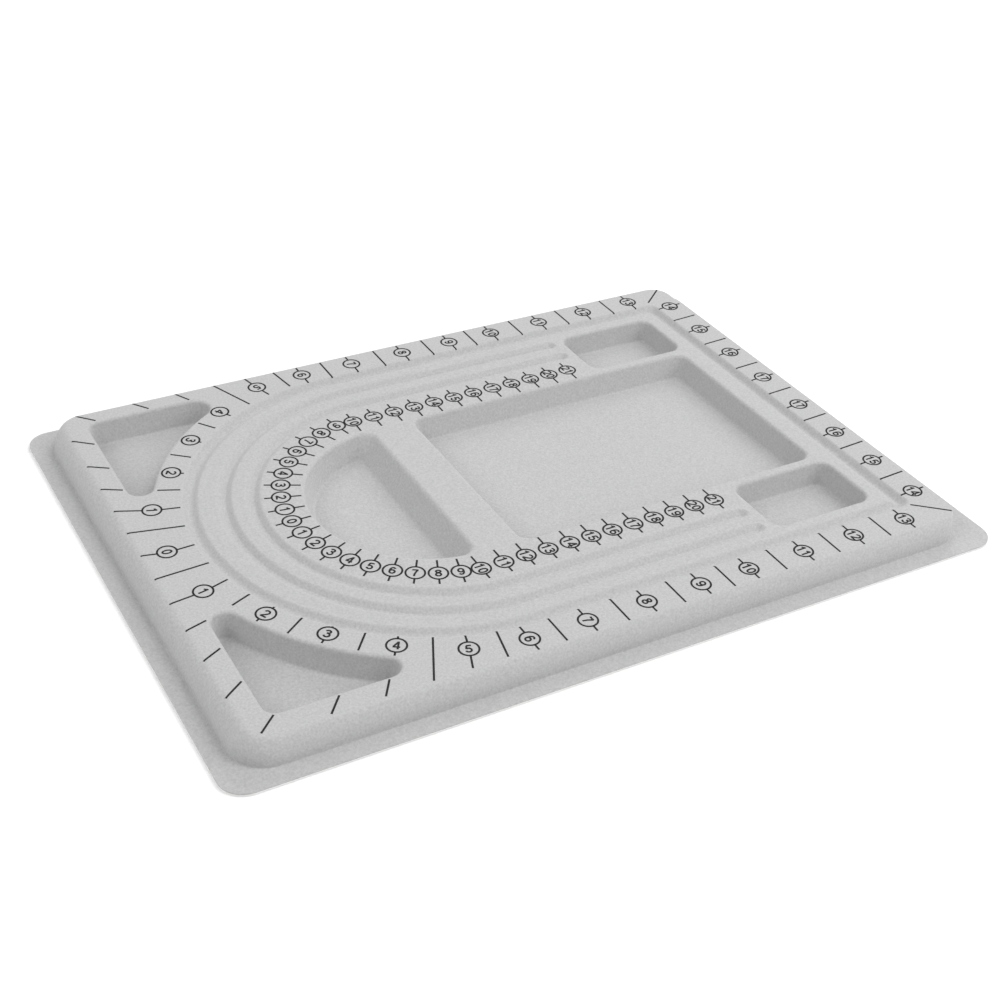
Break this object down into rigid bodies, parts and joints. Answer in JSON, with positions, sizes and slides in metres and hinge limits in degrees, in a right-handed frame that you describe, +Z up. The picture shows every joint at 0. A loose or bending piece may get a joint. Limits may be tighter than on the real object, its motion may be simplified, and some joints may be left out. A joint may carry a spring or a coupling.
{
  "type": "bead board",
  "caption": "Flocked, vacuum-formed bead board with curved lanes for laying out a string of beads, compartments for loose beads and printed length scales.",
  "frame": {"origin": "centre of the board's footprint, on the surface that it lies on", "axes": "+X along the board's length, towards the square end; +Y across it; +Z up out of the flocked face"},
  "size_m": [0.3454, 0.25, 0.0128],
  "materials": {
    "white_plastic": "thin formed sheet, satin",
    "grey_flock": "short grey flock"
  },
  "bodies": {
    "root": {"tray_shell": "white_plastic", "flock_coat": "grey_flock"}
  },
  "joints": []
}
